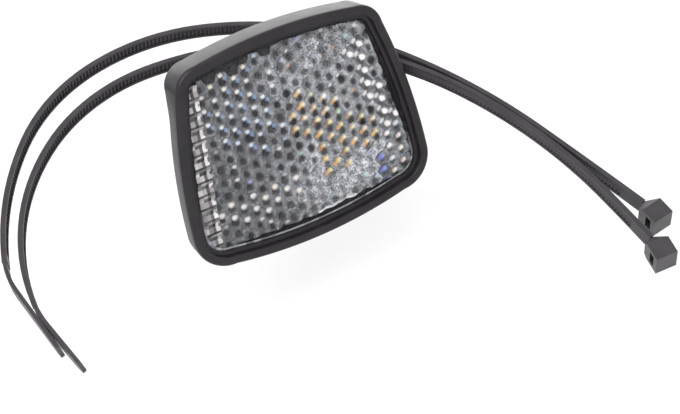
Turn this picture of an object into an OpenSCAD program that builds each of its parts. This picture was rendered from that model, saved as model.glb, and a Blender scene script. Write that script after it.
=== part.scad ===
// Front reflector for a bicycle: a moulded housing with a tube saddle on its
// back, a clear prismatic lens, and the two cable ties that bind the saddle to
// the tube, shown open and resting on the saddle.
// Millimetres. Z is up, the lens looks towards -Y. The origin is on the axis of
// the tube that the saddle takes, half way up the saddle.

/* [Housing] */

// Width of the face across the upper corners
face_top_w = 56; // [40:0.5:80]
// Width of the face across the lower corners
face_bottom_w = 67; // [45:0.5:95]
// Height of the face, without the bow of its edges
face_h = 51; // [36:0.5:75]
// How far each side edge bows out
side_bow = 1.1; // [0:0.1:3]
// How far the upper edge bows out
top_bow = 1.9; // [0:0.1:4]
// How far the lower edge bows out
bottom_bow = 2.4; // [0:0.1:4]
// Radius of the upper corners
top_corner_r = 6.5; // [3:0.5:12]
// Radius of the lower corners
bottom_corner_r = 9; // [3:0.5:14]
// Depth of the housing, front rim to back
housing_depth = 8.4; // [8:0.1:14]
// Width of the flat front rim
rim_w = 2.4; // [1.5:0.1:4]
// Bevel round the front of the rim
rim_bevel = 0.9; // [0.3:0.05:1.2]
// Width of the step inside the rim
ledge_w = 1.3; // [0.6:0.1:3]
// Depth of that step behind the rim
ledge_depth = 1.2; // [0.5:0.1:2]
// Depth of the lens face behind the rim
lens_depth = 2.5; // [1.5:0.1:3]
// Width of the shelf that carries the lens
shelf_w = 0.7; // [0.5:0.1:3]
// Wall behind the lens
floor_t = 1.4; // [1:0.1:3]
// How far the side wall leans in towards the back
draft = 0.35; // [0:0.05:0.6]
// Bevel round the back
back_bevel = 2.2; // [1:0.1:3]

/* [Lens] */

// Thickness of the clear plate in front of the prisms
lens_t = 1.2; // [0.8:0.1:3]
// Gap between the lens edge and the housing
lens_gap = 0.15; // [0.05:0.05:0.4]
// Distance between neighbouring prism pins
pin_pitch = 3.7; // [2.8:0.1:4]
// Gap between the outermost pins and the shelf
pin_gap = 0.2; // [0.1:0.05:1]
// Where the turned pins start, from the middle of the lens
zone_x = -0.6; // [-15:0.1:15]
// Width of the strip of ridges beside the left edge
strip_w = 3.8; // [2:0.1:8]
// Distance between neighbouring ridges of that strip
ridge_pitch = 3.1; // [2:0.1:5]
// Width of the groove between two fields
field_gap = 0.2; // [0.1:0.05:0.5]

/* [Saddle] */

// Diameter of the tube that the saddle sits on
tube_d = 25.4; // [19:0.1:40]
// Wall of the saddle
saddle_wall = 2.4; // [1.6:0.1:4]
// Height of the saddle along the tube
saddle_h = 22; // [14:0.5:40]
// How far the side walls reach past the tube's axis
cheek = 2.2; // [0:0.1:8]
// Height of the horns that keep the ties on the saddle
horn_h = 4; // [1:0.1:8]
// Length of each horn along the cheek
horn_l = 2.6; // [1.5:0.1:6]
// Length of the neck between housing and saddle
neck_l = 5.2; // [2:0.1:20]
// Width of the neck
neck_w = 11; // [6:0.5:20]
// Height of the neck
neck_h = 18; // [8:0.5:30]
// Height of the two ribs that join the housing, the neck and the saddle
rib_h = 3; // [2:0.5:8]
// How far those ribs reach out from the neck
rib_reach = 4; // [1:0.5:8]

/* [Cable ties] */

// Width of the strap
tie_w = 3.6; // [2.5:0.1:4.8]
// Thickness of the strap
tie_t = 1.2; // [0.9:0.05:1.6]
// Depth of the toothed track below its rails
track_depth = 0.45; // [0.2:0.05:0.6]
// Distance between neighbouring teeth
tooth_pitch = 1.05; // [0.7:0.05:2]
// Share of the pitch over which each tooth rises
tooth_rise = 0.85; // [0.5:0.05:0.95]
// Width of each rail beside the track
rail_w = 0.55; // [0.3:0.05:1]
// Length of the head along the strap
head_l = 6.6; // [5:0.1:9]
// Length over which the strap widens into the head
head_neck = 2.2; // [1:0.1:3]
// How far the head stands out on the toothed side
head_inner = 2; // [1:0.1:3]
// Width of the head
head_w = 6.4; // [5:0.1:9]
// Thickness of the head
head_t = 5.2; // [4:0.1:7]
// Gap around a strap that runs through a head's slot
slot_gap = 0.25; // [0.1:0.05:0.5]
// Width of the tail at its tip
tail_tip_w = 2.2; // [1.5:0.1:3]
// Thickness of the plain tail
tail_t = 0.9; // [0.7:0.05:1.2]
// Gap between a tie and the edge that it rests on
rest_gap = 0.05; // [0:0.01:0.2]

/* [Hidden] */

$fn = 64;
arc_steps = 8;       // points on each rounded corner
edge_steps = 8;      // points on each bowed edge

tube_r = tube_d / 2;
saddle_r = tube_r + saddle_wall;
face_y = -(saddle_r + neck_l + housing_depth);

// The neck sinks this far into the back of the housing
neck_sink = 0.5;

// Levels behind the rim
shelf_y = lens_depth + lens_t;
floor_y = housing_depth - floor_t;
pin_relief = pin_pitch * sqrt(2 / 3);
pin_base = lens_depth + lens_t / 2;

// Three turns that lay the plane of the ties as they lie beside the reflector
tie_plane = [28.8, 12.1, -29];

// Each run leaves the saddle as arcs, [length, turn towards the toothed side]
near_head_run = [[25, 19.7], [20, 12.9], [45, 21.3], [16.6, 1.9]];
near_tail_run = [[38, 28.6], [33, 42.2], [46.1, 47.5]];
far_head_run = [[31, 22.4], [45, 18], [31.5, 1.2]];
far_tail_run = [[19, 14.2], [30, 33.1], [28, 35.2], [35.7, 26.4]];

// The stub and the tail sink this far into the strap they carry on from
stub_l = 0.8;
stub_in = 0.25;
tail_overlap = 0.5;

// Distance between the stations that a strap is drawn through
station_gap = 3;

// Lengths of plain strap beside the head and beside the tail
plain_by_head = 6;
plain_by_tail = 2;

// How far the crests of the teeth stay below the rails
crest_drop = 0.08;

// Bevel at the tip of the tail: its length, and its depth at each side
tip_l = 1.8;
tip_cut = 0.6;

// Gaps beside the pawl and between its tip and the slot's near wall
pawl_side_gap = 0.6;
pawl_gap = 0.6;

// Smallest arc that step_on can take
tiny = 0.001;

// How far each head leans over and bends from its strap
head_twist = -10;
head_bend = 12;

// The sharp bend where each tail starts, and the straight after it
near_kink = [8, 14.6];
far_kink = [8, 23.2];
near_tail_l = 13.3;
far_tail_l = 20.1;

// Where the middle line of each tie passes the saddle, and its turn there
near_over = [0.866, -0.4126];    // in shares of the saddle's radius
near_lift = 2.5;
near_at = [near_over[0] * saddle_r, near_over[1] * saddle_r,
           saddle_h / 2 + near_lift + rest_gap];
near_turn = -1.83;
near_to_far = [-1.63, 7.7, 4.42];
far_at = near_at + near_to_far;
far_turn = -4.28;

black = [0.07, 0.07, 0.075];
clear = [0.8, 0.82, 0.86];
nylon = [0.09, 0.085, 0.09];

// The outline of the face in the X-Z plane, moved inwards by inset

function flank_angle() = atan2((face_bottom_w - face_top_w) / 2, face_h);

function arc_points(c, r, from, to) =
    [for (i = [0 : arc_steps]) let (a = from + (to - from) * i / arc_steps)
        c + r * [cos(a), sin(a)]];

// Points between two ends, pushed out along a normal by up to bow
function bow_points(a, b, normal, bow) =
    [for (i = [1 : edge_steps - 1]) let (s = i / edge_steps)
        a * (1 - s) + b * s + normal * bow * 4 * s * (1 - s)];

function right_half(inset) =
    let (tilt = flank_angle(),
         tr = max(top_corner_r - inset, 0.6),
         br = max(bottom_corner_r - inset, 0.6),
         tc = [face_top_w / 2 - inset - tr, face_h / 2 - inset - tr],
         bc = [face_bottom_w / 2 - inset - br, -face_h / 2 + inset + br],
         side = [cos(tilt), sin(tilt)])
    concat(
        arc_points(tc, tr, 90, tilt),
        bow_points(tc + tr * side, bc + br * side, side, side_bow),
        arc_points(bc, br, tilt, -90));

function mirrored(points) =
    [for (i = [len(points) - 1 : -1 : 0]) [-points[i][0], points[i][1]]];

function face_outline(inset) =
    let (right = right_half(inset),
         left = mirrored(right),
         bottom = right[len(right) - 1],
         top = right[0])
    concat(
        right,
        bow_points(bottom, [-bottom[0], bottom[1]], [0, -1], bottom_bow),
        left,
        bow_points([-top[0], top[1]], top, [0, 1], top_bow));

// A slab of the face outline between two levels behind the rim
module face_slab(from, to, inset) {
    translate([0, to, 0])
        rotate([90, 0, 0])
            linear_extrude(height = to - from)
                polygon(face_outline(inset));
}

// A slab whose outline changes from one inset to another
module face_taper(from, to, inset_from, inset_to) {
    a = face_outline(inset_from);
    b = face_outline(inset_to);
    n = len(a);
    polyhedron(
        points = concat([for (p = a) [p[0], from, p[1]]],
                        [for (p = b) [p[0], to, p[1]]]),
        faces = concat([[for (i = [0 : n - 1]) i]],
                       [[for (i = [n - 1 : -1 : 0]) n + i]],
                       [for (i = [0 : n - 1]) [i, n + (i + 1) % n, (i + 1) % n]],
                       [for (i = [0 : n - 1]) [i, n + i, n + (i + 1) % n]]));
}

// Housing: tray, neck and saddle in one moulding

module tray() {
    difference() {
        union() {
            face_taper(0, rim_bevel / 3, rim_bevel, rim_bevel / 3);
            face_taper(rim_bevel / 3, rim_bevel, rim_bevel / 3, 0);
            face_taper(rim_bevel, housing_depth - back_bevel, 0, draft);
            face_taper(housing_depth - back_bevel, housing_depth,
                       draft, draft + back_bevel);
        }
        face_slab(-1, ledge_depth, rim_w);
        face_slab(ledge_depth - 1, shelf_y, rim_w + ledge_w);
        face_slab(shelf_y - 1, floor_y, rim_w + ledge_w + shelf_w);
    }
}

module neck() {
    from = housing_depth - neck_sink;
    length = neck_sink + neck_l + saddle_wall / 2;
    side = min(neck_w / 2 + rib_reach, 0.8 * saddle_r);
    sag = saddle_r - sqrt(saddle_r * saddle_r - side * side);
    rib_l = neck_sink + neck_l + sag + saddle_wall / 4;
    translate([0, from + length / 2, 0])
        cube([neck_w, length, neck_h], center = true);
    for (end = [-1, 1])
        translate([0, from + rib_l / 2, end * (neck_h - rib_h) / 2])
            cube([2 * side, rib_l, rib_h], center = true);
}

// Cross-section of the saddle: a U that is open away from the face
module saddle_profile() {
    difference() {
        union() {
            circle(r = saddle_r);
            translate([-saddle_r, 0])
                square([2 * saddle_r, cheek]);
        }
        circle(r = tube_r);
        translate([-tube_r, 0])
            square([2 * tube_r, saddle_r + 1]);
        translate([-saddle_r - 1, cheek])
            square([2 * saddle_r + 2, saddle_r]);
    }
}

module horns() {
    for (side = [-1, 1], end = [-1, 1])
        translate([side * (tube_r + saddle_wall / 2), cheek - horn_l / 2,
                   end * (saddle_h + horn_h) / 2])
            cube([saddle_wall, horn_l, horn_h], center = true);
}

module housing() {
    color(black) {
        difference() {
            union() {
                translate([0, face_y, 0]) {
                    tray();
                    neck();
                }
                linear_extrude(height = saddle_h, center = true)
                    saddle_profile();
                horns();
            }
            cylinder(r = tube_r, h = saddle_h + 2 * horn_h + 2, center = true);
        }
    }
}

// Lens: a clear plate with corner-cube pins on its back

lens_inset = rim_w + ledge_w + lens_gap;
pins_inset = rim_w + ledge_w + shelf_w + pin_gap;
far_z = face_h / 2 + top_bow + bottom_bow;

// Lattice of pins: one column direction is upright, the other at 30 degrees
step_u = pin_pitch * [cos(30), sin(30)];
step_v = pin_pitch * [0, 1];
pin_r = pin_pitch / sqrt(3);
reach = ceil(face_bottom_w / pin_pitch);

function pin_centre(i, j) = i * step_u + j * step_v;

// The left side of the pins, and a line that runs beside it
function left_line(offset) =
    let (slope = (face_bottom_w - face_top_w) / 2 / face_h,
         middle = -(face_top_w + face_bottom_w) / 4 + pins_inset + offset)
    [middle + slope * far_z, middle - slope * far_z];

// Half width of the pin field at a height
function field_half_w(z) =
    (face_top_w + (face_bottom_w - face_top_w) * (face_h / 2 - z) / face_h) / 2
    + side_bow - pins_inset;

function in_field(p, x_from, x_to) =
    p[0] + pin_r >= x_from && p[0] - pin_r <= x_to
    && abs(p[0]) - pin_r <= field_half_w(p[1] - pin_pitch)
    && abs(p[1]) - pin_pitch / 2 <= far_z - pins_inset;

// Room behind the plate between two lines, each [x above, x below]
module field_room(left, right) {
    intersection() {
        face_slab(pin_base - 0.1, floor_y + 1, pins_inset);
        translate([0, floor_y + 2, 0])
            rotate([90, 0, 0])
                linear_extrude(height = floor_y + 2)
                    polygon([[left[0], far_z],
                             [right[0], far_z],
                             [right[1], -far_z],
                             [left[1], -far_z]]);
    }
}

// Roof ridges that run across, one above the other
module ridges() {
    count = ceil(2 * far_z / ridge_pitch);
    tops = [for (i = [0 : count - 1], k = [0, 1])
        [shelf_y + k * ridge_pitch / 2, (i + k / 2) * ridge_pitch - far_z]];
    rotate([90, 0, 90])
        linear_extrude(height = face_bottom_w, center = true)
            polygon(concat([[pin_base, -far_z]], tops,
                           [[shelf_y, count * ridge_pitch - far_z],
                            [pin_base, count * ridge_pitch - far_z]]));
}

// A field of corner cubes as one closed solid. Each pin has its tip at the
// middle, three corners at half height and three at the valley.
module pin_field(x_from, x_to, turned) {
    n = 2 * reach + 1;
    flip = turned ? -1 : 1;
    ids = [for (i = [-reach : reach], j = [-reach : reach]) [i, j]];
    centres = [for (id = ids) flip * pin_centre(id[0], id[1])];
    inside = [for (c = centres) in_field(c, x_from, x_to)];
    count = len(ids);
    top = pin_base + lens_t / 2 + pin_relief;
    mid = top - pin_relief / 2;
    low = top - pin_relief;
    points = concat(
        [for (c = centres) [c[0], top, c[1]]],
        [for (c = centres) [c[0] + flip * pin_r, mid, c[1]]],
        [for (c = centres) [c[0] - flip * pin_r, low, c[1]]],
        [for (c = centres) [c[0] + flip * pin_r, pin_base, c[1]]],
        [for (c = centres) [c[0] - flip * pin_r, pin_base, c[1]]],
        [for (c = centres) [c[0], pin_base, c[1]]]);
    // Index of a lattice place, its high corner and its low corner
    function at(i, j) = (i + reach) * n + j + reach;
    function high(i, j) = count + at(i, j);
    function deep(i, j) = 2 * count + at(i, j);
    // Corners of the hexagon round a pin, at 0, 60, 120 ... degrees
    function ring(i, j) = [high(i, j), deep(i + 1, j), high(i - 1, j + 1),
                           deep(i, j), high(i - 1, j), deep(i + 1, j - 1)];
    function next_to(i, j) = [at(i + 1, j), at(i, j + 1), at(i - 1, j + 1),
                              at(i - 1, j), at(i, j - 1), at(i + 1, j - 1)];
    faces = [for (id = ids) let (i = id[0], j = id[1])
        if (abs(i) < reach && abs(j) < reach && inside[at(i, j)])
            let (r = ring(i, j), near = next_to(i, j), me = at(i, j))
            for (k = [0 : 5])
                let (a = r[k], b = r[(k + 1) % 6])
                each concat(
                    [[me, a, b]],
                    [[5 * count + me, b + 2 * count, a + 2 * count]],
                    inside[near[k]] ? [] :
                        [[a, b + 2 * count, b], [a, a + 2 * count, b + 2 * count]])];
    polyhedron(points = points, faces = faces);
}

module lens() {
    edge = face_bottom_w;
    strip = left_line(strip_w);
    color(clear)
        translate([0, face_y, 0]) {
            face_slab(lens_depth, shelf_y, lens_inset);
            intersection() {
                ridges();
                field_room([-edge, -edge], strip);
            }
            intersection() {
                pin_field(strip[1], zone_x, false);
                field_room(strip + field_gap * [1, 1],
                           (zone_x - field_gap) * [1, 1]);
            }
            intersection() {
                pin_field(zone_x, edge, true);
                field_room(zone_x * [1, 1], [edge, edge]);
            }
        }
}

// Cable ties. Each lies in one plane and is drawn in it: a run of arcs leaves
// the saddle at the origin, towards +X for the tail and -X for the head, and
// both turn towards +Y, the toothed side.

// A place [x, y, heading] moved on along an arc
function step_on(q, length, turn) =
    let (chord = length * sin(turn / 2) / (turn / 2 * PI / 180))
    [q[0] + chord * cos(q[2] + turn / 2),
     q[1] + chord * sin(q[2] + turn / 2),
     q[2] + turn];

function run_place(runs, s, i = 0, q = [0, 0, 0]) =
    let (length = runs[i][0], turn = runs[i][1])
    s <= length || i == len(runs) - 1
        ? step_on(q, max(s, tiny), turn * max(s, tiny) / length)
        : run_place(runs, s - length, i + 1, step_on(q, length, turn));

function run_length(runs, i = 0) =
    i == len(runs) ? 0 : runs[i][0] + run_length(runs, i + 1);

// The place on a whole tie at a distance from the saddle, minus for the head
function tie_place(head_run, tail_run, s) =
    s >= 0
        ? run_place(tail_run, s)
        : let (q = run_place(head_run, -s)) [-q[0], q[1], -q[2]];

// The point beside a place, plus for the toothed side
function beside(q, d) = [q[0] - d * sin(q[2]), q[1] + d * cos(q[2])];

function side_line(head_run, tail_run, stations, d) =
    [for (s = stations) beside(tie_place(head_run, tail_run, s), d)];

function backwards(points) =
    [for (i = [len(points) - 1 : -1 : 0]) points[i]];

// Plan of the strap from head to tail
module strap_plan(head_run, tail_run, stations) {
    polygon(concat(
        side_line(head_run, tail_run, stations, -tie_t / 2),
        backwards(side_line(head_run, tail_run, stations, tie_t / 2))));
}

// Plan of the track that is cut into the strap, with its teeth left standing
module track_plan(head_run, tail_run, from, to) {
    count = floor((to - from) / tooth_pitch);
    crest = tie_t / 2 - crest_drop;
    root = tie_t / 2 - track_depth;
    teeth = [for (i = [0 : count - 1], k = [0, 1])
        beside(tie_place(head_run, tail_run,
                         from + (i + k * tooth_rise) * tooth_pitch),
               k == 0 ? root : crest)];
    stations = [for (i = [0 : 8 : count - 1]) from + i * tooth_pitch];
    open_side = side_line(head_run, tail_run,
                          concat(stations, [from + count * tooth_pitch]),
                          tie_t / 2 + 1);
    polygon(concat(teeth, backwards(open_side)));
}

module strap(head_run, tail_run) {
    from = -run_length(head_run);
    to = run_length(tail_run);
    steps = ceil((to - from) / station_gap);
    stations = [for (i = [0 : steps]) from + (to - from) * i / steps];
    difference() {
        linear_extrude(height = tie_w, center = true)
            strap_plan(head_run, tail_run, stations);
        linear_extrude(height = tie_w - 2 * rail_w, center = true)
            track_plan(head_run, tail_run,
                       from + plain_by_head, to - plain_by_tail);
    }
}

// The plain tail: a sharp bend, then a straight that narrows to the tip
module tail(length, kink) {
    steps = 4;
    bend = [for (i = [0 : steps]) step_on([0, 0, 0], kink[0] * i / steps + tiny,
                                          kink[1] * i / steps + tiny)];
    last = bend[steps];
    line = concat([[-tail_overlap, 0, 0]], bend, [step_on(last, length, tiny)]);
    taper = (tie_w - tail_tip_w) / 2;
    tip_to = length - 0.2;
    tip_from = tip_to - tip_l;
    difference() {
        linear_extrude(height = tie_w, center = true)
            polygon(concat(
                [for (q = line) beside(q, -tail_t / 2)],
                backwards([for (q = line) beside(q, tail_t / 2)])));
        for (side = [0, 1])
            mirror([0, 0, side])
                translate([last[0], last[1], tie_w / 2])
                    rotate([0, 0, last[2]])
                        rotate([90, 0, 0])
                            linear_extrude(height = 4 * tie_t, center = true)
                                polygon([[1, 0],
                                         [tip_from, -taper],
                                         [tip_to, -taper - tip_cut],
                                         [length + 1, -taper - tip_cut],
                                         [length + 1, 1],
                                         [1, 1]]);
    }
}

// Side view of the head, with the stub that sinks into the strap
module head_side() {
    stub = tie_t / 2 - stub_in;
    polygon([[-stub_l, -stub],
             [-0.1, -stub],
             [head_neck, head_inner - head_t],
             [head_l, head_inner - head_t],
             [head_l, head_inner],
             [head_neck / 2, head_inner],
             [0.3, stub],
             [-stub_l, stub]]);
}

// The head seen on its toothed side
module head_front() {
    stub = tie_w / 2 - stub_in;
    half = head_w / 2;
    polygon([[-stub_l - 1, -stub],
             [0, -stub],
             [head_neck, -half],
             [head_l + 1, -half],
             [head_l + 1, half],
             [head_neck, half],
             [0, stub],
             [-stub_l - 1, stub]]);
}

// The pawl that leans into the slot from its far wall
module pawl(slot_x, slot_l) {
    root = slot_x + slot_l / 2 + 0.2;
    linear_extrude(height = tie_w - 2 * pawl_side_gap, center = true)
        polygon([[root, head_inner - 0.8],
                 [slot_x - slot_l / 2 + pawl_gap, head_inner - head_t / 2],
                 [root, head_inner - 0.6 * head_t]]);
}

// The head: a block that stands out on the smooth side, with a slot through it
module head() {
    slot_l = tie_t + 2 * slot_gap;
    slot_x = head_l * 2 / 3;
    difference() {
        intersection() {
            linear_extrude(height = head_w, center = true)
                head_side();
            rotate([90, 0, 0])
                linear_extrude(height = 3 * head_t, center = true)
                    head_front();
        }
        translate([slot_x, 0, 0])
            cube([slot_l, 3 * head_t, tie_w + 2 * slot_gap], center = true);
    }
    pawl(slot_x, slot_l);
}

module cable_tie(head_run, tail_run, kink, tail_l) {
    strap(head_run, tail_run);
    tail_from = run_place(tail_run, run_length(tail_run));
    translate([tail_from[0], tail_from[1], 0])
        rotate(tail_from[2])
            tail(tail_l, kink);
    head_from = run_place(head_run, run_length(head_run));
    mirror([1, 0, 0])
        translate([head_from[0], head_from[1], 0])
            rotate([head_twist, 0, head_from[2] + head_bend])
                head();
}

// Puts a tie where it rests: the place on the saddle and its heading there
module placed(at, turn) {
    translate(at)
        rotate(tie_plane)
            rotate(180 + turn)
                children();
}

module near_tie() {
    color(nylon)
        placed(near_at, near_turn)
            cable_tie(near_head_run, near_tail_run, near_kink, near_tail_l);
}

module far_tie() {
    color(nylon)
        placed(far_at, far_turn)
            cable_tie(far_head_run, far_tail_run, far_kink, far_tail_l);
}

housing();
lens();
near_tie();
far_tie();
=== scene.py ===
import math
import random

import bmesh
import bpy
from mathutils import Matrix, Vector
from mathutils import noise as turbulence


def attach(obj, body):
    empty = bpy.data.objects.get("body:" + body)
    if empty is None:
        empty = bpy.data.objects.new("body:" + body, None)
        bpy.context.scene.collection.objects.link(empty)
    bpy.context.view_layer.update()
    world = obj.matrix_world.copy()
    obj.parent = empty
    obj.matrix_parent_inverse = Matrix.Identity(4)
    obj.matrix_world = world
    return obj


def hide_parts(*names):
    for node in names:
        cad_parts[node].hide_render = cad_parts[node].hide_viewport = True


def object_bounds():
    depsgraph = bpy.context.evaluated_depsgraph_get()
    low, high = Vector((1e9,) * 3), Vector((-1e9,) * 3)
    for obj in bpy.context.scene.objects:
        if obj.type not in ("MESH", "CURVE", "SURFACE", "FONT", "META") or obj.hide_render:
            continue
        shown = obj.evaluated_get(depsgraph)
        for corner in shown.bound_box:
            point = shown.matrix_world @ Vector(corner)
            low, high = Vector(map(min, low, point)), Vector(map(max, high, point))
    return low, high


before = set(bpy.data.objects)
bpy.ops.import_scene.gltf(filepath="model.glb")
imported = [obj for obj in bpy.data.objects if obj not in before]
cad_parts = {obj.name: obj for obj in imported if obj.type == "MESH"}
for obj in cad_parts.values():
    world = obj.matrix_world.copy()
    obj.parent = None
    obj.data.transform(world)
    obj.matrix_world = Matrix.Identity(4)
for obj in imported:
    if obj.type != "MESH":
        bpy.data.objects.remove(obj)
cad_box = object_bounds()

MM = 0.001

# Sizes in millimetres. They are those of the part's source, apart from the two of
# the ledge, which follow the photo.
FACE_TOP_W = 56
FACE_BOTTOM_W = 67
FACE_H = 51
SIDE_BOW = 1.1
TOP_BOW = 1.9
BOTTOM_BOW = 2.4
TOP_CORNER_R = 6.5
BOTTOM_CORNER_R = 9
HOUSING_DEPTH = 8.4
RIM_W = 2.4
LEDGE_W = 1.0
LEDGE_DEPTH = 1.5
LENS_DEPTH = 2.5
SHELF_W = 0.7
BACK_BEVEL = 2.2
DRAFT = 0.35
FLOOR_T = 1.4
LENS_T = 1.2
LENS_GAP = 0.15
ZONE_X = -0.6
TUBE_R = 12.7
SADDLE_WALL = 2.4
SADDLE_H = 22
CHEEK = 2.2
HORN_H = 4
HORN_L = 2.6
NECK_L = 5.2
NECK_W = 11
NECK_H = 18
NECK_SINK = 0.5
RIB_H = 3
RIB_REACH = 4
SADDLE_R = TUBE_R + SADDLE_WALL
FACE_Y = -(SADDLE_R + NECK_L + HOUSING_DEPTH)

# The upper wall runs further back than the others and has a smaller bevel. The
# change starts this far above the middle of the face, and is full at TOP_FULL.
TOP_FROM = 12
TOP_FULL = 23
TOP_DEEPER = 1.2
TOP_BEVEL = 0.9
TOP_DRAFT = 0.1


# Node helpers

NOISE_ROUGHNESS = 0.55
RAMP_FROM = 0.3          # the noise's middle range, over which colours change
RAMP_TO = 0.7
BUMP_STRENGTH = 0.5


def new_material(name):
    """A material with only a Principled shader and its output."""
    material = bpy.data.materials.new(name)
    material.use_nodes = True
    tree = material.node_tree
    shader = tree.nodes["Principled BSDF"]
    return material, tree, shader


def noise(tree, scale, detail=4.0):
    """Noise over the object's own coordinates, with this many cells a metre."""
    place = tree.nodes.new("ShaderNodeTexCoord")
    node = tree.nodes.new("ShaderNodeTexNoise")
    node.inputs["Scale"].default_value = scale
    node.inputs["Detail"].default_value = detail
    node.inputs["Roughness"].default_value = NOISE_ROUGHNESS
    tree.links.new(place.outputs["Object"], node.inputs["Vector"])
    return node.outputs["Fac"]


def ramp(tree, source, low, high):
    """Colours between low and high over the noise's middle range."""
    node = tree.nodes.new("ShaderNodeValToRGB")
    node.color_ramp.elements[0].position = RAMP_FROM
    node.color_ramp.elements[0].color = (*low, 1)
    node.color_ramp.elements[1].position = RAMP_TO
    node.color_ramp.elements[1].color = (*high, 1)
    tree.links.new(source, node.inputs["Fac"])
    return node.outputs["Color"]


def spread(tree, source, low, high):
    """A number between low and high."""
    node = tree.nodes.new("ShaderNodeMapRange")
    node.inputs["To Min"].default_value = low
    node.inputs["To Max"].default_value = high
    tree.links.new(source, node.inputs["Value"])
    return node.outputs["Result"]


def bump(tree, shader, source, distance):
    node = tree.nodes.new("ShaderNodeBump")
    node.inputs["Strength"].default_value = BUMP_STRENGTH
    node.inputs["Distance"].default_value = distance
    tree.links.new(source, node.inputs["Height"])
    tree.links.new(node.outputs["Normal"], shader.inputs["Normal"])


# Black plastics. Noise scales are in cells a metre, the grain's depth in metres.

PLASTIC_IOR = 1.5
TONE_SCALE = 160
GLOSS_SCALE = 420
GRAIN_DEPTH = 0.00004
HOUSING_TONES = ((0.011, 0.009, 0.012), (0.018, 0.015, 0.019))
HOUSING_ROUGH = (0.3, 0.44)
HOUSING_GRAIN = 2600
HOUSING_SHINE = 0.3
TIE_TONES = ((0.024, 0.021, 0.025), (0.04, 0.035, 0.041))
TIE_ROUGH = (0.32, 0.48)
TIE_GRAIN = 3200
TIE_SHINE = 0.4


def moulded_plastic(name, tones, rough, grain, shine):
    """Moulded plastic: faint tone changes, fine grain, uneven gloss."""
    material, tree, shader = new_material(name)
    shader.inputs["IOR"].default_value = PLASTIC_IOR
    shader.inputs["Specular IOR Level"].default_value = shine
    tree.links.new(ramp(tree, noise(tree, TONE_SCALE), *tones), shader.inputs["Base Color"])
    tree.links.new(spread(tree, noise(tree, GLOSS_SCALE), *rough), shader.inputs["Roughness"])
    bump(tree, shader, noise(tree, grain, detail=2.0), GRAIN_DEPTH)
    return material


# Face outline

ARC_STEPS = 14
EDGE_STEPS = 24
LEAST_CORNER_R = 0.6


def arc(centre, radius, start, end):
    return [centre + radius * Vector((math.cos(a), math.sin(a)))
            for a in (start + (end - start) * i / ARC_STEPS
                      for i in range(ARC_STEPS + 1))]


def bowed(a, b, normal, bow):
    """Points between a and b, on a curve that bows out by bow at its middle."""
    points = []
    for i in range(1, EDGE_STEPS):
        s = i / EDGE_STEPS
        points.append(a.lerp(b, s) + normal * bow * 4 * s * (1 - s))
    return points


def face_outline(inset):
    """Points of the face outline, moved inwards, clockwise from the top right."""
    tilt = math.atan2((FACE_BOTTOM_W - FACE_TOP_W) / 2, FACE_H)
    top_r = max(TOP_CORNER_R - inset, LEAST_CORNER_R)
    bottom_r = max(BOTTOM_CORNER_R - inset, LEAST_CORNER_R)
    top_c = Vector((FACE_TOP_W / 2 - inset - top_r, FACE_H / 2 - inset - top_r))
    bottom_c = Vector((FACE_BOTTOM_W / 2 - inset - bottom_r,
                       -FACE_H / 2 + inset + bottom_r))
    side = Vector((math.cos(tilt), math.sin(tilt)))
    right = (arc(top_c, top_r, math.pi / 2, tilt)
             + bowed(top_c + top_r * side, bottom_c + bottom_r * side, side, SIDE_BOW)
             + arc(bottom_c, bottom_r, tilt, -math.pi / 2))
    left = [Vector((-p.x, p.y)) for p in reversed(right)]
    bottom = bowed(right[-1], left[0], Vector((0, -1)), BOTTOM_BOW)
    top = bowed(left[-1], right[0], Vector((0, 1)), TOP_BOW)
    return right + bottom + left + top


# Mesh helpers

BEVEL_STEPS = 3
MERGE_DISTANCE = 0.0001  # millimetres


def clamped(t):
    return max(0.0, min(1.0, t))


def show(name, bm, material, nodes, smooth_angle=None):
    """Turns a bmesh in millimetres into a piece on the root body."""
    bmesh.ops.scale(bm, vec=(MM, MM, MM), verts=bm.verts)
    mesh = bpy.data.meshes.new(name)
    bm.to_mesh(mesh)
    bm.free()
    obj = bpy.data.objects.new(name, mesh)
    bpy.context.collection.objects.link(obj)
    mesh.materials.append(material)
    if smooth_angle is not None:
        for polygon in mesh.polygons:
            polygon.use_smooth = True
        mesh.set_sharp_from_angle(angle=math.radians(smooth_angle))
    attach(obj, "root")
    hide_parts(*nodes)


def face_ring(bm, at, top_at):
    """A ring of the face outline at (inset, depth), and at top_at along its upper edge."""
    inset, depth = at
    top_inset, top_depth = top_at
    ring = []
    for p, q in zip(face_outline(inset), face_outline(top_inset)):
        t = clamped((p.y - TOP_FROM) / (TOP_FULL - TOP_FROM))
        t = t * t * (3 - 2 * t)
        place = p.lerp(q, t)
        y = FACE_Y + depth + (top_depth - depth) * t
        ring.append(bm.verts.new((place.x, y, place.y)))
    return ring


def loft(bm, profile, top_profile):
    """A closed skin over rings of the face outline, given as (inset, depth) places.

    The second profile holds along the upper edge, and fades out down the sides.
    """
    rings = [face_ring(bm, at, top_at) for at, top_at in zip(profile, top_profile)]
    n = len(rings[0])
    for a, b in zip(rings, rings[1:]):
        for i in range(n):
            j = (i + 1) % n
            bm.faces.new((a[i], a[j], b[j], b[i]))
    bm.faces.new(list(reversed(rings[0])))
    bm.faces.new(rings[-1])


def rounded(from_point, corner, to_point, steps):
    """Points of a rounded corner in a profile."""
    a, c, b = Vector(from_point), Vector(corner), Vector(to_point)
    points = []
    for i in range(steps + 1):
        t = i / steps
        points.append(tuple((1 - t) ** 2 * a + 2 * t * (1 - t) * c + t * t * b))
    return points


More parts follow.
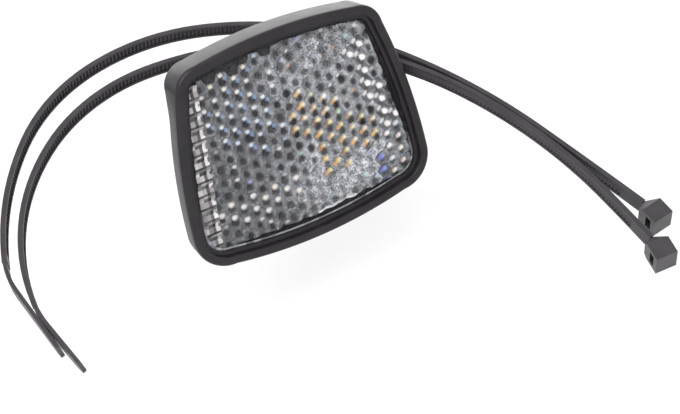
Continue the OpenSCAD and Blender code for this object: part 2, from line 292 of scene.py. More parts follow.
def bevelled_box(bm, low, high, bevel):
    """A box with rounded edges, added to bm."""
    lo, hi = Vector(low), Vector(high)
    verts = bmesh.ops.create_cube(bm, size=1.0)["verts"]
    for v in verts:
        v.co = Vector(((lo[k] + hi[k]) / 2 + v.co[k] * (hi[k] - lo[k]) for k in range(3)))
    edges = list({e for v in verts for e in v.link_edges})
    bmesh.ops.bevel(bm, geom=edges, offset=bevel, segments=BEVEL_STEPS, profile=0.5,
                    affect="EDGES")


# Housing

BACK_CAP_IN = BACK_BEVEL + DRAFT + 1.5      # inset of the cap that closes the back
SOFT_BEFORE = 0.3        # rounding before each edge of the back's bevel
SOFT_BEVEL = 0.25        # rounding after its inner edge
SOFT_WALL = 0.4          # rounding after its outer edge
WALL_LEAN = 0.02         # how far the wall leans out over that rounding
WALL_MIDDLE = 3.0        # depth at which half of the draft is taken up
RIM_ROUND_IN = 0.95      # rounding of the rim's outer edge, along the front
RIM_ROUND_BACK = 1.1     # and along the wall
RIM_INNER_IN = 0.5       # rounding of the rim's inner edge, along the front
RIM_INNER_BACK = 0.4     # and along the inner wall
LEDGE_ROUND = 0.25
RIM_STEPS = 6
ROUND_STEPS = 3
LEDGE_STEPS = 2
NECK_ROUND = 0.5
RIB_ROUND = 0.4
RIB_MOST = 0.8           # widest that a rib may reach, as a share of the saddle's radius
SADDLE_STEPS = 40
SADDLE_ROUND = 0.35
CHEEK_MIDDLE = 0.8       # half way up the straight part of a cheek
CHEEK_BEVEL = 0.6
HORN_SINK = 0.5
HORN_ROUND = 0.45
HOUSING_SMOOTH = 32      # degrees, from which an edge stays sharp


def back_profile(back, bevel, draft):
    """The back and the outer wall up to the rim's rounding, from back to front."""
    inner = draft + bevel
    edge = back - bevel
    profile = [(BACK_CAP_IN, back)]
    profile += rounded((inner + SOFT_BEFORE, back), (inner, back),
                       (inner - SOFT_BEVEL, back - SOFT_BEVEL), ROUND_STEPS)
    profile += rounded((draft + SOFT_BEFORE, edge + SOFT_BEFORE), (draft, edge),
                       (draft - WALL_LEAN, edge - SOFT_WALL), ROUND_STEPS)
    return profile + [(draft / 2, WALL_MIDDLE)]


def front_profile():
    """From the rim's outer rounding over the ledge and the lens's shelf to the floor."""
    ledge = RIM_W + LEDGE_W
    shelf_depth = LENS_DEPTH + LENS_T
    profile = rounded((0.0, RIM_ROUND_BACK), (0.0, 0.0), (RIM_ROUND_IN, 0.0), RIM_STEPS)
    profile += rounded((RIM_W - RIM_INNER_IN, 0.0), (RIM_W, 0.0),
                       (RIM_W, RIM_INNER_BACK), ROUND_STEPS)
    profile += [(RIM_W, LEDGE_DEPTH)]
    profile += rounded((ledge - LEDGE_ROUND, LEDGE_DEPTH), (ledge, LEDGE_DEPTH),
                       (ledge, LEDGE_DEPTH + LEDGE_ROUND), LEDGE_STEPS)
    return profile + [(ledge, shelf_depth),
                      (ledge + SHELF_W, shelf_depth),
                      (ledge + SHELF_W, HOUSING_DEPTH - FLOOR_T)]


def tray(bm):
    """The tray, with its deeper upper wall."""
    front = front_profile()
    loft(bm, back_profile(HOUSING_DEPTH, BACK_BEVEL, DRAFT) + front,
         back_profile(HOUSING_DEPTH + TOP_DEEPER, TOP_BEVEL, TOP_DRAFT) + front)


def neck(bm):
    """The neck, and the two ribs that run on to the round of the saddle."""
    start = FACE_Y + HOUSING_DEPTH - NECK_SINK
    end = -SADDLE_R + SADDLE_WALL / 2
    bevelled_box(bm, (-NECK_W / 2, start, -NECK_H / 2), (NECK_W / 2, end, NECK_H / 2),
                 NECK_ROUND)
    half = min(NECK_W / 2 + RIB_REACH, RIB_MOST * SADDLE_R)
    rib_end = -math.sqrt(SADDLE_R ** 2 - half ** 2) + SADDLE_WALL / 4
    for side in (-1, 1):
        middle = side * (NECK_H - RIB_H) / 2
        bevelled_box(bm, (-half, start, middle - RIB_H / 2),
                     (half, rib_end, middle + RIB_H / 2), RIB_ROUND)


def saddle_side(radius):
    """One side of the saddle's section, from the left cheek round to the right one."""
    turns = [math.pi + math.pi * i / SADDLE_STEPS for i in range(SADDLE_STEPS + 1)]
    return ([(-radius, CHEEK - CHEEK_BEVEL), (-radius, CHEEK_MIDDLE)]
            + [(radius * math.cos(a), radius * math.sin(a)) for a in turns]
            + [(radius, CHEEK_MIDDLE), (radius, CHEEK - CHEEK_BEVEL)])


def saddle(bm):
    """A U that is open away from the face, with bevelled ends and rounded edges."""
    left_end = [(-SADDLE_R + CHEEK_BEVEL, CHEEK), (-TUBE_R - CHEEK_BEVEL, CHEEK)]
    right_end = [(TUBE_R + CHEEK_BEVEL, CHEEK), (SADDLE_R - CHEEK_BEVEL, CHEEK)]
    loop = (saddle_side(SADDLE_R) + right_end[::-1]
            + saddle_side(TUBE_R)[::-1] + left_end[::-1])
    half = SADDLE_H / 2
    low = [bm.verts.new((x, y, -half)) for x, y in loop]
    high = [bm.verts.new((x, y, half)) for x, y in loop]
    n = len(loop)
    for i in range(n):
        j = (i + 1) % n
        bm.faces.new((low[i], low[j], high[j], high[i]))
    caps = [bm.faces.new(list(reversed(low))), bm.faces.new(high)]
    rim = list({e for f in caps for e in f.edges})
    bmesh.ops.bevel(bm, geom=rim, offset=SADDLE_ROUND, segments=2, profile=0.5,
                    affect="EDGES")


def horns(bm):
    """Four horns at the saddle's ends, which keep a tie from slipping off."""
    for side in (-1, 1):
        for end in (-1, 1):
            x = side * (TUBE_R + SADDLE_WALL / 2)
            z_low, z_high = sorted((end * (SADDLE_H / 2 - HORN_SINK),
                                    end * (SADDLE_H / 2 + HORN_H)))
            bevelled_box(bm, (x - SADDLE_WALL / 2, CHEEK - HORN_L, z_low),
                         (x + SADDLE_WALL / 2, CHEEK, z_high), HORN_ROUND)


def build_housing(material):
    bm = bmesh.new()
    tray(bm)
    neck(bm)
    saddle(bm)
    horns(bm)
    bmesh.ops.remove_doubles(bm, verts=bm.verts, dist=MERGE_DISTANCE)
    bmesh.ops.recalc_face_normals(bm, faces=bm.faces)
    show("housing_shell", bm, material, ["housing"], HOUSING_SMOOTH)


# Lens. The prisms have the depth and spacing that they appear to have in the photo.
# Each is split into small facets with a tone each: painted reflections, glints and shade,
# which stand for the light that shows inside a corner cube.

PLATE_T = 0.3
PLATE_ROUND = 0.25
PLATE_SMOOTH = 30        # degrees, from which an edge stays sharp
PRISM_FRONT = 2.85       # depth of the valleys between the prisms
PRISM_DEPTH = 1.1        # from the valleys to the tips
LENS_INSET = RIM_W + LEDGE_W + LENS_GAP
PRISM_INSET = LENS_INSET + 0.05
PRISM_PITCH = 3.5        # between neighbouring prisms
FACET_STEPS = 4          # small facets along each side of a prism's triangles
FACET_MERGE = 0.002      # distance at which corners of facets are joined
STRIP_W = 3.5            # strip of ridges beside the left edge
RIDGE_PITCH = 3.4
RIDGE_RISE = 1.2         # a ridge gains half of this, in prism depths, by its middle
OVERLAP = 0.4            # how far one field of prisms runs under the next
EDGE_INSETS = (0.03, 0.65)   # outer and inner side of the lens's rounded edge
EDGE_DEPTHS = (2.7, 2.44)
EDGE_LIT_BELOW = -10     # height under which the painted highlight on that edge starts
EDGE_FADE = 8            # height over which the painted highlight comes to full strength
SEED = 11

CLEAR_ALPHA = 0.08
CLEAR_IOR = 1.49
CLEAR_SHINE = 0.8
CLEAR_TONES = ((0.02, 0.02, 0.025), (0.05, 0.05, 0.06))
CLEAR_TONE_SCALE = 300
CLEAR_ROUGH = (0.02, 0.08)
CLEAR_GLOSS_SCALE = 500
FINE_TONES = ((0.8, 0.8, 0.82), (1.0, 1.0, 1.0))
FINE_SCALE = 900
PRISM_SHINE = 0.1
PRISM_ROUGH = (0.25, 0.45)
PRISM_GLOSS_SCALE = 700


def lens_clear(name):
    """The polished front of the lens: nearly all clear, with a thin gloss."""
    material, tree, shader = new_material(name)
    shader.inputs["Alpha"].default_value = CLEAR_ALPHA
    shader.inputs["IOR"].default_value = CLEAR_IOR
    shader.inputs["Specular IOR Level"].default_value = CLEAR_SHINE
    tree.links.new(ramp(tree, noise(tree, CLEAR_TONE_SCALE), *CLEAR_TONES),
                   shader.inputs["Base Color"])
    tree.links.new(spread(tree, noise(tree, CLEAR_GLOSS_SCALE), *CLEAR_ROUGH),
                   shader.inputs["Roughness"])
    return material


def prism_material(name):
    """Facets of the prisms: the painted reflection and shade of each facet, with fine changes
    across it.
    """
    material, tree, shader = new_material(name)
    tone = tree.nodes.new("ShaderNodeAttribute")
    tone.attribute_name = "tone"
    mix = tree.nodes.new("ShaderNodeMix")
    mix.data_type = "RGBA"
    mix.blend_type = "MULTIPLY"
    mix.inputs["Factor"].default_value = 1.0
    tree.links.new(tone.outputs["Color"], mix.inputs["A"])
    tree.links.new(ramp(tree, noise(tree, FINE_SCALE, detail=3.0), *FINE_TONES),
                   mix.inputs["B"])
    tree.links.new(mix.outputs["Result"], shader.inputs["Base Color"])
    tree.links.new(spread(tree, noise(tree, PRISM_GLOSS_SCALE), *PRISM_ROUGH),
                   shader.inputs["Roughness"])
    shader.inputs["Specular IOR Level"].default_value = PRISM_SHINE
    return material


# Areas of the lens, by their places on the face

def blob(x, z, centre, radius):
    """1 at the centre, falling off smoothly."""
    return math.exp(-((x - centre[0]) / radius[0]) ** 2 - ((z - centre[1]) / radius[1]) ** 2)


def near_line(x, z, a, b, width):
    """1 on the line from a to b, falling off smoothly."""
    p, q, r = Vector((x, z)), Vector(a), Vector(b)
    t = max(0, min(1, (p - q).dot(r - q) / (r - q).length_squared))
    return math.exp(-((p - q.lerp(r, t)).length / width) ** 2)


# Centre and radii of an area, or two ends and the width of a line
BLUE_AREA = ((-13.5, 11), (8, 10))
GOLD_LINE = ((4, 3), (17, -7.5), 5.4)
GOLD_LOW = ((9, -14), (6, 4))
COLUMN_UPPER = ((19.8, 14.5), (22.9, 1), 1.8)
COLUMN_LOWER = ((22.9, 1), (26.4, -7), 2.0)
COLUMN_END = ((26.8, -8), (26, -21), 2.2)
CORNER_AREA = ((23, -20), (2.5, 4))
ROW = ((-25.5, -14.4), (-4, -14), 2.5)
BUSY_AREA = ((10, -15), (12, 6))
TOP_AREA = ((12, 19), (13, 5))
# A painted highlight along the lower edge of the lens
HIGHLIGHT_STREAK = ((1.2, -23.5), (11.5, -22.8), 0.8)
HIGHLIGHT_STREAK_FROM = 0.4        # nearness to the painted highlight's line from which a facet is in it
HIGHLIGHT_STREAK_SHARES = (0.4, 1.0)
LEFT_UNTIL = -6          # where the darker left field passes into the lighter right one
LEFT_FADE = 3
CLOUD_SIZE = 6
CLOUD_LAYER = 3.1
SHADOW_EDGE = (-8, 21.0)     # a place on the shadow's lower edge
SHADOW_SLOPE = 0.11
SHADOW_UNTIL = 2


def shadowed(x, z):
    """The corner above the left field, where hardly any light comes back."""
    return z > SHADOW_EDGE[1] + (x - SHADOW_EDGE[0]) * SHADOW_SLOPE and x < SHADOW_UNTIL


# Tones of the painted light and shade in the lens

WHITE = (0.97, 0.97, 1.0)
WARM = (1.0, 0.9, 0.8)
SKY = (0.45, 0.7, 1.0)
YELLOW = (1.0, 0.8, 0.28)
ORANGE = (0.95, 0.4, 0.1)
VIOLET = (0.3, 0.32, 0.85)
TEAL = (0.35, 0.75, 0.7)
# Colour of the painted dark spot in each prism, a painted shade
PAINTED_DARK = (0.012, 0.011, 0.014)
GREY_REDS = (0.94, 1.02)     # red and blue of a grey, as shares of its green
GREY_BLUES = (1.0, 1.1)

# Level of the painted light in a prism: darker in the left field, lighter in the busy area, a
# little darker in the top area, and changed at random over clouds of noise
PLAIN_LEVEL = 0.37
LEFT_DARKER = 0.19
BUSY_LIGHTER = 0.09
TOP_DARKER = 0.05
CLOUD_SHARE = 0.5        # how far the clouds change a level
SIDE_SHADES = (0.7, 1.3)     # of the six sides of a prism
UNEVEN = 0.4             # how far a facet differs from its side of the prism
UNEVEN_MORE = 0.3        # added to that in the busy and the top area
DULL_GREYS = (0.01, 0.06)    # of prisms in the shadow

DARK_V = -0.3            # height of the painted dark spot in a prism
DARK_RADII = (0.52, 0.72)
DARK_SHARES = (0.8, 1)
DARK_LESS_BUSY = 0.85    # how much paler it is in the busy area
DARK_LESS_TOP = 0.5      # and in the top area
DARK_SHARPNESS = 3.2
MOST_ASIDE = 0.08        # farthest that the glints of a prism move to one side

GLINT_REACH = 1.15       # where a glint ends, in its own radii
GLINT_SHARPNESS = 2.2
SIDES_FROM = 0.1         # how the colour of a side comes in, outwards from the middle
SIDES_RISE = 1.2


def mixed(a, b, t):
    t = clamped(t)
    return tuple(p + (q - p) * t for p, q in zip(a, b))


def grey(rng, low, high):
    """A grey between low and high, now and then a little cool or warm."""
    g = rng.uniform(low, high)
    return (g * rng.uniform(*GREY_REDS), g, g * rng.uniform(*GREY_BLUES))


class Glint:
    """A spot of light in a prism: where, how wide, and its colours from left to right."""

    def __init__(self, place, wide, high, colours, power=1.0):
        self.place = place
        self.wide = wide
        self.high = high
        self.colours = colours
        self.power = power

    def over(self, tone, u, v):
        """The tone at u, v once the glint lies over it."""
        du = (u - self.place[0]) / self.wide
        dv = (v - self.place[1]) / self.high
        share = clamped(GLINT_SHARPNESS * (GLINT_REACH - math.hypot(du, dv))) * self.power
        left, middle, right = self.colours
        side = left if du < 0 else right
        return mixed(tone, mixed(middle, side, SIDES_RISE * abs(du) - SIDES_FROM), share)


class Prism:
    """How one prism looks: the plain level of its painted light, its painted dark spot and
    its glints.

    Places in it are in radii, across and up from its middle.
    """

    def __init__(self, x, z, rng):
        busy = blob(x, z, *BUSY_AREA)
        top = blob(x, z, *TOP_AREA)
        left = 1 / (1 + math.exp((x - LEFT_UNTIL) / LEFT_FADE))
        cloud = turbulence.noise(Vector((x / CLOUD_SIZE, z / CLOUD_SIZE, CLOUD_LAYER)))
        self.x = x
        self.z = z
        plain = PLAIN_LEVEL - LEFT_DARKER * left + BUSY_LIGHTER * busy - TOP_DARKER * top
        self.level = plain * (1 + CLOUD_SHARE * cloud)
        self.uneven = UNEVEN + UNEVEN_MORE * max(busy, top)
        self.dark_v = DARK_V
        self.dark_radius = rng.uniform(*DARK_RADII)
        self.dark_share = (rng.uniform(*DARK_SHARES) - DARK_LESS_BUSY * busy
                           - DARK_LESS_TOP * top)
        self.aside = rng.uniform(-MOST_ASIDE, MOST_ASIDE)
        self.glints = []
        self.add_glints(rng)

    def add_glints(self, rng):
        """Tries each kind of glint in turn, and takes the first that comes up."""
        for chance, add_kind in kinds(self.x, self.z):
            if rng.random() < chance:
                add_kind(self, rng)
                return

    def tone(self, u, v, shade, rng):
        """The painted light and shade of a facet at u, v, on a side with this shade."""
        tone = grey(rng, (1 - self.uneven) * shade, (1 + self.uneven) * shade)
        # The painted dark spot: painted shade within the prism's reflections
        distance = math.hypot(u, v - self.dark_v)
        hidden = clamped(DARK_SHARPNESS * (self.dark_radius - distance))
        tone = mixed(tone, PAINTED_DARK, hidden * self.dark_share)
        for glint in self.glints:
            tone = glint.over(tone, u, v)
        return tone


# Kinds of painted glint, with their places and sizes in radii of a prism

def white_pair(prism, rng):
    prism.level *= 0.45
    prism.dark_share = 0.2
    for place in ((-0.36, 0.34), (0.36, -0.3)):
        prism.glints.append(Glint(place, 0.4, 0.42, (WARM, WHITE, WHITE)))


def gold_pair(prism, rng):
    """Gold at the lower left of its field, and whiter towards the upper right."""
    far = 0.35 + (prism.z - 1.5) / 14 + (prism.x - 8.5) / 18
    middle = mixed(YELLOW, rng.choice((WHITE, WHITE, TEAL)), far + rng.uniform(-0.3, 0.7))
    low = mixed(ORANGE, rng.choice((YELLOW, WHITE, SKY)), rng.uniform(0, 0.7))
    prism.glints.append(Glint((-0.3, -0.02), 0.36, 0.32, (low, low, YELLOW),
                              rng.uniform(0.1, 0.9)))
    prism.glints.append(Glint((0.08 + prism.aside, 0.26), rng.uniform(0.34, 0.46), 0.36,
                              (mixed(ORANGE, YELLOW, far), middle, mixed(middle, WHITE, 0.8)),
                              rng.uniform(0.8, 1.0)))
    prism.dark_v = -0.5
    prism.level *= 0.75


def pale_spot(prism, rng):
    middle = rng.choice((WHITE, WARM, mixed(WHITE, ORANGE, 0.3), mixed(WHITE, SKY, 0.4)))
    prism.glints.append(Glint((0.0, 0.2), 0.42, 0.4, (WARM, middle, WHITE)))
    prism.level *= 0.7


def coloured_spot(prism, rng):
    middle = rng.choice((VIOLET, TEAL, VIOLET))
    prism.glints.append(Glint((0.0, 0.1), 0.46, 0.46,
                              (middle, middle, mixed(middle, SKY, 0.5)), 0.9))
    prism.level *= 0.5


def warm_spot(prism, rng):
    middle = mixed(WHITE, WARM, rng.random())
    prism.glints.append(Glint((0.1, 0.25), 0.38, 0.4, (middle, middle, WHITE)))


def blue_pair(prism, rng):
    """A white spot, warmer towards the top of its field, often with a blue one."""
    middle = mixed(WHITE, mixed(YELLOW, SKY, 1.1 - prism.z / 16), rng.uniform(0.1, 0.5))
    prism.glints.append(Glint((prism.aside, 0.46), 0.31, 0.33,
                              (mixed(middle, WARM, 0.5), middle, mixed(middle, SKY, 0.6))))
    if rng.random() < 0.6:
        prism.glints.append(Glint((0.45, 0.0), 0.27, 0.32, (SKY, SKY, VIOLET), 0.4))


def stray_spot(prism, rng):
    colour = rng.choice((WHITE, WHITE, SKY, WARM, WARM, VIOLET, ORANGE, TEAL))
    prism.glints.append(Glint((prism.aside * 6, 0.44), 0.28, 0.3,
                              (colour, mixed(colour, WHITE, 0.5), colour),
                              rng.uniform(0.3, 0.9)))


def kinds(x, z):
    """The chance of each kind of glint in a prism at x, z, in the order of trying.

    A chance is highest in the middle of its area, where it may pass 1, and falls to
    nothing outside it.
    """
    gold = max(near_line(x, z, *GOLD_LINE), 0.6 * blob(x, z, *GOLD_LOW))
    column = max(near_line(x, z, *COLUMN_UPPER), near_line(x, z, *COLUMN_LOWER))
    return ((2.2 * column - 0.2, white_pair),
            (3.0 * gold - 0.5, gold_pair),
            (2.0 * near_line(x, z, *COLUMN_END), pale_spot),
            (1.3 * blob(x, z, *CORNER_AREA), coloured_spot),
            (2.8 * near_line(x, z, *ROW) - 0.3, warm_spot),
            (2.6 * blob(x, z, *BLUE_AREA) - 0.1, blue_pair),
            (0.4, stray_spot))


# Facets, with corners (x, depth behind the rim, z)

SHORTEST_EDGE = 1e-6
LEAST_DIFFERENCE = 1e-9


def half_planes(outline):
    """Inside tests of a convex outline, as (point, inward normal)."""
    middle = sum(outline, Vector((0, 0))) / len(outline)
    planes = []
    for a, b in zip(outline, outline[1:] + outline[:1]):
        edge = b - a
        if edge.length < SHORTEST_EDGE:
            continue
        normal = Vector((-edge.y, edge.x)).normalized()
        if (middle - a).dot(normal) < 0:
            normal = -normal
        planes.append((a, normal))
    return planes


def clip(corners, planes):
    """The part of a flat facet inside the half planes."""
    for point, normal in planes:
        kept = []
        side = [(c.x - point.x) * normal.x + (c.z - point.y) * normal.y for c in corners]
        for i, c in enumerate(corners):
            j = (i + 1) % len(corners)
            if side[i] >= 0:
                kept.append(c)
            crosses = (side[i] > 0) != (side[j] > 0)
            if crosses and abs(side[i] - side[j]) > LEAST_DIFFERENCE:
                kept.append(c.lerp(corners[j], side[i] / (side[i] - side[j])))
        corners = kept
        if len(corners) < 3:
            return []
    return corners


class Facets:
    """Flat facets, each with one tone of painted light and shade, gathered in a mesh."""

    def __init__(self):
        self.bm = bmesh.new()
        self.layer = self.bm.loops.layers.float_color.new("tone")

    def add(self, corners, tone, planes):
        """Adds the part of a facet that lies inside the half planes."""
        flat = clip([Vector(c) for c in corners], planes)
        if not flat:
            return
        verts = [self.bm.verts.new((c.x, FACE_Y + c.y, c.z)) for c in flat]
        face = self.bm.faces.new(verts)
        for loop in face.loops:
            loop[self.layer] = (*tone, 1)


def split(tip, a, b):
    """Small triangles that share out the triangle tip, a, b."""
    def at(i, j):
        return tip + (a - tip) * (i / FACET_STEPS) + (b - a) * (j / FACET_STEPS)

    for i in range(1, FACET_STEPS + 1):
        for j in range(i):
            yield at(i, j), at(i, j + 1), at(i - 1, j)
        for j in range(1, i):
            yield at(i, j), at(i - 1, j), at(i - 1, j - 1)


def prism_ring(x, z, radius, turned):
    """The six corners of a prism: every second one half way, the others at the front."""
    ring = []
    for k in range(6):
        a = math.radians(60 * k)
        half_way = (k % 2 == 0) != turned
        depth = PRISM_FRONT + (PRISM_DEPTH / 2 if half_way else 0)
        ring.append(Vector((x + radius * math.cos(a), depth, z + radius * math.sin(a))))
    return ring


def facet_tone(prism, corners, radius, shade, rng):
    """The tone of one facet, by its middle."""
    x = sum(c.x for c in corners) / 3
    z = sum(c.z for c in corners) / 3
    if shadowed(prism.x, prism.z):
        return grey(rng, *DULL_GREYS)
    tone = prism.tone((x - prism.x) / radius, (z - prism.z) / radius, shade, rng)
    # The painted highlight along the lens's lower edge
    if near_line(x, z, *HIGHLIGHT_STREAK) > HIGHLIGHT_STREAK_FROM:
        tone = mixed(tone, WHITE, rng.uniform(*HIGHLIGHT_STREAK_SHARES))
    return tone


def add_prism(facets, x, z, turned, planes, rng):
    """One corner cube: tip at the back, three corners half way, three at the front."""
    radius = PRISM_PITCH / math.sqrt(3)
    middle = Vector((x, z))
    near = [(point, normal) for point, normal in planes
            if (middle - point).dot(normal) < radius]
    if any((middle - point).dot(normal) < -radius for point, normal in near):
        return
    prism = Prism(x, z, rng)
    tip = Vector((x, PRISM_FRONT + PRISM_DEPTH, z))
    ring = prism_ring(x, z, radius, turned)
    for k in range(6):
        shade = prism.level * rng.uniform(*SIDE_SHADES)
        for corners in split(tip, ring[k], ring[(k + 1) % 6]):
            facets.add(corners, facet_tone(prism, corners, radius, shade, rng), near)


# The strip: cuts across it, cuts along each ridge, and the tones of painted reflection
# between them
STRIP_CUTS = (-2.0, 0.5, 1.6, 2.4, STRIP_W)
RIDGE_CUTS = (0.0, 0.14, 0.5, 0.8, 1.0)
RIDGE_TONES = ((0.08, 0.08, 0.06, 0.12), (0.5, 0.45, 0.12, 0.8),
               (0.55, 0.12, 0.06, 0.75), (0.3, 0.4, 0.25, 0.4))
RIDGE_SHADES = (0.4, 1.6)
RIDGE_BRIGHTEST = 0.97
RIDGE_WARMTH = 0.96          # its green and blue, as a share of its red
RIDGE_DULL_GREYS = (0.01, 0.04)
EDGE_DARK_GREYS = (0.02, 0.05)
EDGE_LIT_GREYS = (0.2, 0.6)
SIDE_SLOPE = (FACE_BOTTOM_W - FACE_TOP_W) / 2 / FACE_H
STRIP_NORMAL = Vector((1, -SIDE_SLOPE)).normalized()


def left_line(offset, z):
    """A line beside the left side of the prisms."""
    return -(FACE_TOP_W + FACE_BOTTOM_W) / 4 + PRISM_INSET + offset + SIDE_SLOPE * z


def ridge_corner(across, share, z):
    """A place in the strip, with share running from 0 to 1 over one ridge."""
    depth = PRISM_FRONT + RIDGE_RISE * PRISM_DEPTH * min(share, 1 - share)
    z = z + share * RIDGE_PITCH
    return left_line(across, z), depth, z


def ridge_tone(plain, z, rng):
    # The painted reflection on a ridge, and painted shadow in the shadowed corner
    level = min(RIDGE_BRIGHTEST, plain * rng.uniform(*RIDGE_SHADES))
    if shadowed(left_line(0, z), z + 1):
        return grey(rng, *RIDGE_DULL_GREYS)
    return level, level * RIDGE_WARMTH, level * RIDGE_WARMTH


def add_ridges(facets, planes, rng):
    """Roof ridges in the strip beside the left edge, with painted reflections, brightest
    beside the prisms.
    """
    count = int(FACE_H / RIDGE_PITCH) + 2
    for i in range(-count // 2, count // 2 + 1):
        z = i * RIDGE_PITCH
        for low, high, tones in zip(RIDGE_CUTS, RIDGE_CUTS[1:], RIDGE_TONES):
            for left, right, plain in zip(STRIP_CUTS, STRIP_CUTS[1:], tones):
                facets.add([ridge_corner(left, low, z), ridge_corner(right, low, z),
                            ridge_corner(right, high, z), ridge_corner(left, high, z)],
                           ridge_tone(plain, z, rng), planes)


def add_edge(facets, rng):
    """The rounded edge of the lens, with a painted highlight along its lower side."""
    outer, inner = (face_outline(RIM_W + LEDGE_W + inset) for inset in EDGE_INSETS)
    for i, p in enumerate(outer):
        j = (i + 1) % len(outer)
        lit = clamped((EDGE_LIT_BELOW - p.y) / EDGE_FADE)
        tone = mixed(grey(rng, *EDGE_DARK_GREYS), grey(rng, *EDGE_LIT_GREYS), lit)
        facets.add([(p.x, EDGE_DEPTHS[0], p.y), (outer[j].x, EDGE_DEPTHS[0], outer[j].y),
                    (inner[j].x, EDGE_DEPTHS[1], inner[j].y),
                    (inner[i].x, EDGE_DEPTHS[1], inner[i].y)], tone, [])


def add_fields(facets, edge, rng):
    """Both fields of prisms on one lattice, the right one turned against the left."""
    after_strip = (Vector((left_line(STRIP_W - OVERLAP, 0), 0)), STRIP_NORMAL)
    before_zone = (Vector((ZONE_X + OVERLAP, 0)), Vector((-1, 0)))
    after_zone = (Vector((ZONE_X, 0)), Vector((1, 0)))
    step_x = PRISM_PITCH * math.cos(math.radians(30))
    reach = int(FACE_BOTTOM_W / PRISM_PITCH)
    for i in range(-reach, reach + 1):
        for j in range(-reach, reach + 1):
            x, z = i * step_x, PRISM_PITCH * (j + i / 2)
            if abs(x) > FACE_BOTTOM_W / 2 or abs(z) > FACE_H / 2 + BOTTOM_BOW:
                continue
            if x - PRISM_PITCH < ZONE_X:
                add_prism(facets, x, z, False, edge + [after_strip, before_zone], rng)
            if x + PRISM_PITCH > ZONE_X:
                add_prism(facets, x, z, True, edge + [after_zone], rng)


def build_prisms(material):
    facets = Facets()
    rng = random.Random(SEED)
    edge = half_planes(face_outline(PRISM_INSET))
    strip = (Vector((left_line(STRIP_W, 0), 0)), -STRIP_NORMAL)
    add_ridges(facets, edge + [strip], rng)
    add_fields(facets, edge, rng)
    add_edge(facets, rng)
    bmesh.ops.remove_doubles(facets.bm, verts=facets.bm.verts, dist=FACET_MERGE)
    show("lens_prisms", facets.bm, material, ["lens"])


def build_plate(material):
    bm = bmesh.new()
    profile = rounded((LENS_INSET + PLATE_ROUND, LENS_DEPTH), (LENS_INSET, LENS_DEPTH),
                      (LENS_INSET, LENS_DEPTH + PLATE_ROUND), ROUND_STEPS)
    profile += [(LENS_INSET, LENS_DEPTH + PLATE_T)]
    loft(bm, profile, profile)
    bmesh.ops.recalc_face_normals(bm, faces=bm.faces)
    show("lens_plate", bm, material, ["lens"], PLATE_SMOOTH)


# Stage, in metres unless it says otherwise

FLOOR_DROP = 14          # millimetres from the lowest tie down to the floor
FLOOR_HALF = 4000        # millimetres
FLOOR_WHITE = 0.55       # share of the floor that shows plain white to the camera
FLOOR_TONES = ((0.93, 0.93, 0.93), (0.95, 0.95, 0.95))
FLOOR_TONE_SCALE = 3
FLOOR_ROUGH = 0.9
WORLD_LIGHT = 0.75       # the world's strength as a light
WORLD_SEEN = 1.0         # and where it is seen
CAMERA_LENS = 66.27      # millimetres
CAMERA_SENSOR = 36       # millimetres
CAMERA_PLACE = (-0.1072, -0.2916, 0.1116)
CAMERA_RIGHT = Vector((0.85543, -0.47327, -0.21038))
CAMERA_DOWN = Vector((-0.3759, -0.28792, -0.88079))
CAMERA_AHEAD = Vector((0.35628, 0.83254, -0.4242))
CAMERA_CLIP = (0.01, 20)

# Each lamp's name, place, diameter and watts
LAMPS = (("key", (-0.45, -0.75, 0.75), 0.9, 11.5),
         ("back", (0.3, 0.75, 0.42), 1.1, 3.9))


def lamp(name, place, size, energy):
    """A round soft lamp that is turned to the origin."""
    data = bpy.data.lights.new(name, "AREA")
    data.shape = "DISK"
    data.size = size
    data.energy = energy
    obj = bpy.data.objects.new(name, data)
    bpy.context.collection.objects.link(obj)
    obj.location = place
    obj.rotation_mode = "QUATERNION"
    obj.rotation_quaternion = (-Vector(place)).to_track_quat("-Z", "Y")


def seen_rays(tree):
    """1 on the rays that show a surface as it is: camera, glossy and transmission."""
    path = tree.nodes.new("ShaderNodeLightPath")
    total = path.outputs["Is Camera Ray"]
    for name in ("Is Glossy Ray", "Is Transmission Ray"):
        either = tree.nodes.new("ShaderNodeMath")
        either.operation = "MAXIMUM"
        tree.links.new(total, either.inputs[0])
        tree.links.new(path.outputs[name], either.inputs[1])
        total = either.outputs[0]
    return total


def build_world():
    world = bpy.data.worlds.new("studio")
    bpy.context.scene.world = world
    world.use_nodes = True
    tree = world.node_tree
    background = tree.nodes["Background"]
    background.inputs["Color"].default_value = (1, 1, 1, 1)
    tree.links.new(spread(tree, seen_rays(tree), WORLD_LIGHT, WORLD_SEEN),
                   background.inputs["Strength"])


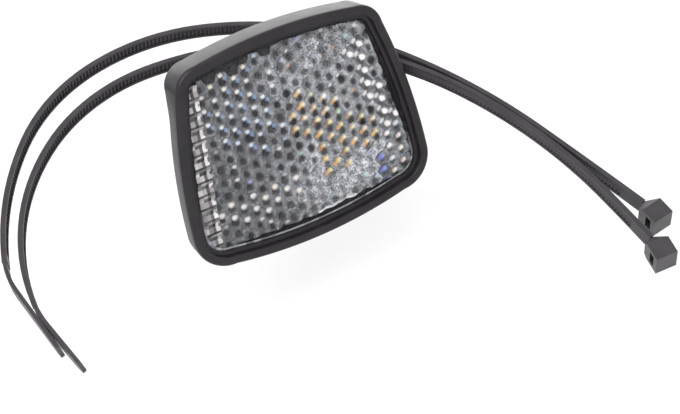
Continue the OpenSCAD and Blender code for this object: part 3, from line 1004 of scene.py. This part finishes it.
def floor_material():
    material, tree, shader = new_material("floor_white")
    tree.links.new(ramp(tree, noise(tree, FLOOR_TONE_SCALE), *FLOOR_TONES),
                   shader.inputs["Base Color"])
    shader.inputs["Roughness"].default_value = FLOOR_ROUGH
    white = tree.nodes.new("ShaderNodeEmission")
    mix = tree.nodes.new("ShaderNodeMixShader")
    tree.links.new(spread(tree, seen_rays(tree), 0, FLOOR_WHITE), mix.inputs["Fac"])
    tree.links.new(shader.outputs["BSDF"], mix.inputs[1])
    tree.links.new(white.outputs["Emission"], mix.inputs[2])
    tree.links.new(mix.outputs["Shader"], tree.nodes["Material Output"].inputs["Surface"])
    return material


def build_floor():
    """A white floor that keeps a faint shadow."""
    bm = bmesh.new()
    bmesh.ops.create_grid(bm, x_segments=1, y_segments=1, size=FLOOR_HALF)
    for v in bm.verts:
        v.co.z = cad_box[0].z / MM - FLOOR_DROP
    bmesh.ops.scale(bm, vec=(MM, MM, MM), verts=bm.verts)
    mesh = bpy.data.meshes.new("floor")
    bm.to_mesh(mesh)
    bm.free()
    floor = bpy.data.objects.new("floor", mesh)
    bpy.context.collection.objects.link(floor)
    mesh.materials.append(floor_material())


def build_camera():
    data = bpy.data.cameras.new("camera")
    data.lens = CAMERA_LENS
    data.sensor_width = CAMERA_SENSOR
    data.clip_start, data.clip_end = CAMERA_CLIP
    camera = bpy.data.objects.new("camera", data)
    bpy.context.collection.objects.link(camera)
    turn = Matrix((CAMERA_RIGHT, -CAMERA_DOWN, -CAMERA_AHEAD)).transposed()
    camera.matrix_world = Matrix.Translation(CAMERA_PLACE) @ turn.to_4x4()
    bpy.context.scene.camera = camera


def dress_ties(material):
    for name in ("near_tie", "far_tie"):
        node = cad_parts[name]
        node.data.materials.clear()
        node.data.materials.append(material)


housing_black = moulded_plastic("housing_black", HOUSING_TONES, HOUSING_ROUGH,
                                HOUSING_GRAIN, HOUSING_SHINE)
tie_black = moulded_plastic("tie_black", TIE_TONES, TIE_ROUGH, TIE_GRAIN, TIE_SHINE)
build_housing(housing_black)
build_prisms(prism_material("lens_facets"))
build_plate(lens_clear("lens_clear"))
dress_ties(tie_black)

build_floor()
build_world()
build_camera()
for name, place, size, energy in LAMPS:
    lamp(name, place, size, energy)

scene = bpy.context.scene
scene.view_settings.view_transform = "Standard"
